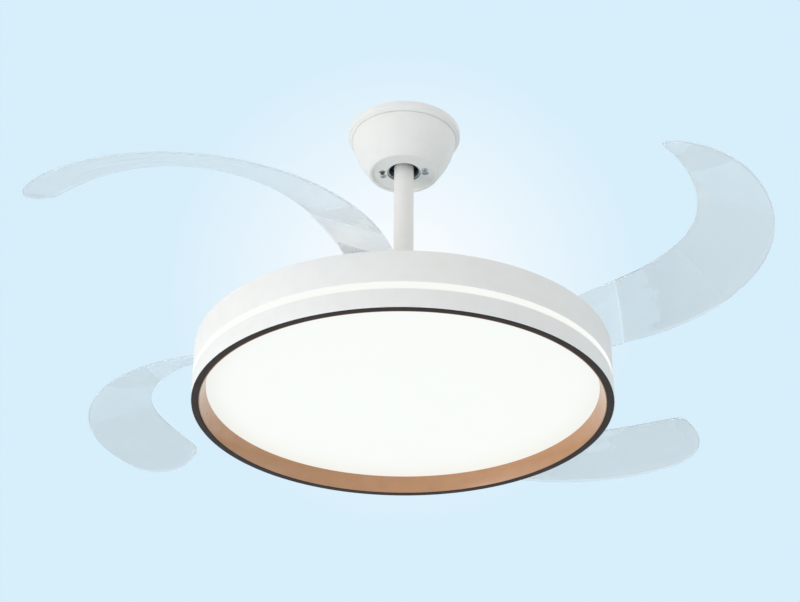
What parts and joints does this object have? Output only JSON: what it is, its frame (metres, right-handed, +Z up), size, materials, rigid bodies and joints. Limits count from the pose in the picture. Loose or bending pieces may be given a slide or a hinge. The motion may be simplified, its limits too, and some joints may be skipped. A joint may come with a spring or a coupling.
{
  "type": "retractable blade ceiling fan",
  "caption": "Ceiling fan whose clear curved blades fold in over a round light drum, hung on a short rod from a canopy.",
  "frame": {"origin": "middle of the ceiling bracket's top face, on the ceiling", "axes": "+Z up along the rod and the spin axis; +X to the right and -Y towards the camera of the picture"},
  "size_m": [0.82, 0.8066, 0.402],
  "materials": {
    "white_paint": "satin white powder coat",
    "dark_rim": "matt dark brown paint",
    "bronze_lip": "satin light bronze paint",
    "opal_acrylic": "opal acrylic, softly matt, lit from behind",
    "clear_blade": "clear moulded polycarbonate, polished",
    "grey_plastic": "moulded grey ABS",
    "nylon": "natural nylon",
    "bright_steel": "zinc-plated steel",
    "zinc_plate": "galvanised sheet steel",
    "dark_steel": "dark phosphated steel",
    "cast_aluminium": "fine cast aluminium",
    "copper_wire": "enamelled copper wire",
    "white_board": "white solder resist",
    "black_plastic": "black moulded nylon"
  },
  "bodies": {
    "ceiling_mount": {"ceiling_bracket": "bright_steel", "canopy_bowl": "white_paint", "canopy_trim_ring": "white_paint", "canopy_screw_right": "bright_steel", "canopy_screw_left": "bright_steel", "terminal_block": "grey_plastic"},
    "hanging_lamp": {"hanger_ball": "black_plastic", "ball_cross_pin": "bright_steel", "downrod": "white_paint", "motor_yoke": "dark_steel", "yoke_bolt": "bright_steel", "yoke_nut": "bright_steel", "motor_shaft": "bright_steel", "shaft_nut": "bright_steel", "stator_core": "dark_steel", "stator_winding": "copper_wire", "lamp_upper_shell": "white_paint", "light_guide_ring": "opal_acrylic", "side_led_strip": "white_board", "lamp_lower_shell": "white_paint", "rim_ring": "dark_rim", "reflector_lip": "bronze_lip", "diffuser": "opal_acrylic", "lamp_chassis": "zinc_plate", "led_board": "white_board", "led_driver": "grey_plastic", "remote_receiver": "grey_plastic"},
    "rotor": {"motor_lower_housing": "cast_aluminium", "motor_upper_housing": "cast_aluminium", "magnet_ring": "dark_steel", "lower_bearing": "bright_steel", "upper_bearing": "bright_steel", "blade_carrier": "cast_aluminium", "sync_gear_keeper": "nylon", "return_spring_1": "bright_steel", "return_spring_2": "bright_steel", "pivot_pin_1": "bright_steel", "pivot_pin_2": "bright_steel", "pivot_pin_3": "bright_steel", "pivot_pin_4": "bright_steel", "pivot_nut_1": "bright_steel", "pivot_nut_2": "bright_steel", "pivot_nut_3": "bright_steel", "pivot_nut_4": "bright_steel"},
    "sync_ring": {"sync_gear": "nylon"},
    "blade_1_leaf": {"blade_1": "clear_blade", "blade_arm_1": "grey_plastic", "blade_pinion_1": "nylon"},
    "blade_2_leaf": {"blade_2": "clear_blade", "blade_arm_2": "grey_plastic", "blade_pinion_2": "nylon"},
    "blade_3_leaf": {"blade_3": "clear_blade", "blade_arm_3": "grey_plastic", "blade_pinion_3": "nylon"},
    "blade_4_leaf": {"blade_4": "clear_blade", "blade_arm_4": "grey_plastic", "blade_pinion_4": "nylon"}
  },
  "joints": [
    {"name": "ball_swing", "type": "hinge", "parent": "ceiling_mount", "child": "hanging_lamp", "pos_m": [0, 0, -0.036], "axis": [0, 1, 0], "range_deg": [-10, 10]},
    {"name": "rotor_spin", "type": "hinge", "parent": "hanging_lamp", "child": "rotor", "pos_m": [0, 0, -0.338], "axis": [0, 0, 1], "continuous": true},
    {"name": "blade_1_fold", "type": "hinge", "parent": "rotor", "child": "blade_1_leaf", "pos_m": [0.18708, -0.04319, -0.334], "axis": [0, 0, 1], "range_deg": [-98, 0], "stiffness_Nm_per_rad": 0.12, "springref_deg": -148.97},
    {"name": "blade_2_fold", "type": "hinge", "parent": "rotor", "child": "blade_2_leaf", "pos_m": [-0.04319, -0.18708, -0.334], "axis": [0, 0, 1], "range_deg": [-98, 0]},
    {"name": "blade_3_fold", "type": "hinge", "parent": "rotor", "child": "blade_3_leaf", "pos_m": [-0.18708, 0.04319, -0.334], "axis": [0, 0, 1], "range_deg": [-98, 0]},
    {"name": "blade_4_fold", "type": "hinge", "parent": "rotor", "child": "blade_4_leaf", "pos_m": [0.04319, 0.18708, -0.334], "axis": [0, 0, 1], "range_deg": [-98, 0]},
    {"name": "sync_gear_turn", "type": "hinge", "parent": "rotor", "child": "sync_ring", "pos_m": [0, 0, -0.334], "axis": [0, 0, 1], "range_deg": [0, 19.7], "deforming": ["return_spring_1", "return_spring_2"]}
  ],
  "couplings": [
    {"joint": "blade_2_fold", "follows": "blade_1_fold", "ratio": 1},
    {"joint": "blade_3_fold", "follows": "blade_1_fold", "ratio": 1},
    {"joint": "blade_4_fold", "follows": "blade_1_fold", "ratio": 1},
    {"joint": "sync_gear_turn", "follows": "blade_1_fold", "ratio": -0.2}
  ]
}
